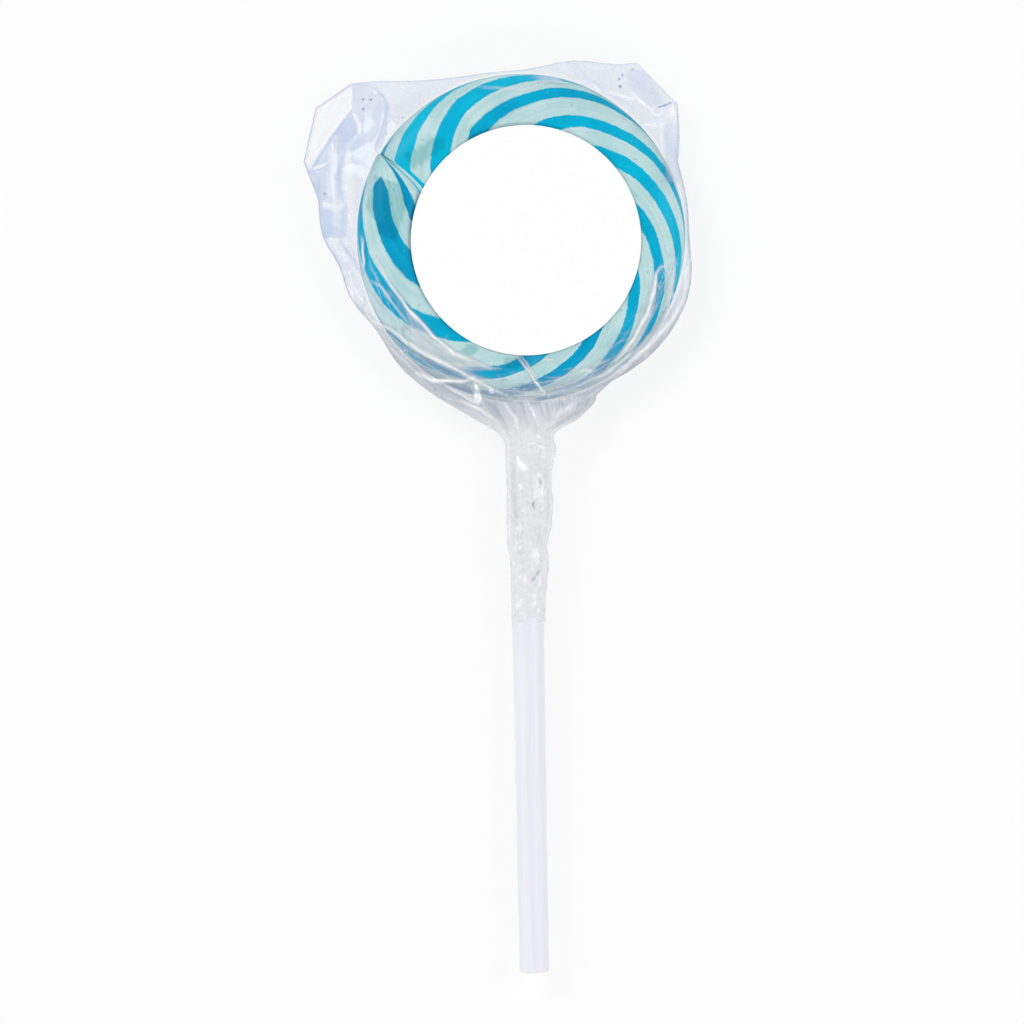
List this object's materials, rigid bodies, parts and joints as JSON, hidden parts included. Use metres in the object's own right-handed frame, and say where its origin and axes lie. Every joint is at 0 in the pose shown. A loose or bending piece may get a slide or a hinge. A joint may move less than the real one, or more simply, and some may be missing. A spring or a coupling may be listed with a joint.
{
  "type": "swirl lollipop",
  "caption": "Round blue and white swirl lollipop on a white stick, in a clear film bag gathered on the stick, with a blank round label.",
  "frame": {"origin": "on the resting plane, below the middle of the round candy, at the flat back of the bag", "axes": "+Z out of the shown face of the candy, +Y from the stick towards the top of the candy, +X to the right as seen from the shown face"},
  "size_m": [0.0592, 0.1398, 0.0105],
  "materials": {
    "candy": "glossy hard candy, sky blue stripes twisted round pale mint white",
    "stick": "smooth white plastic stick",
    "label": "blank white paper label, satin coated",
    "film": "thin clear plastic film, glossy and creased"
  },
  "bodies": {
    "root": {"candy": "candy", "stick": "stick", "label": "label", "wrapper": "film"}
  },
  "joints": []
}
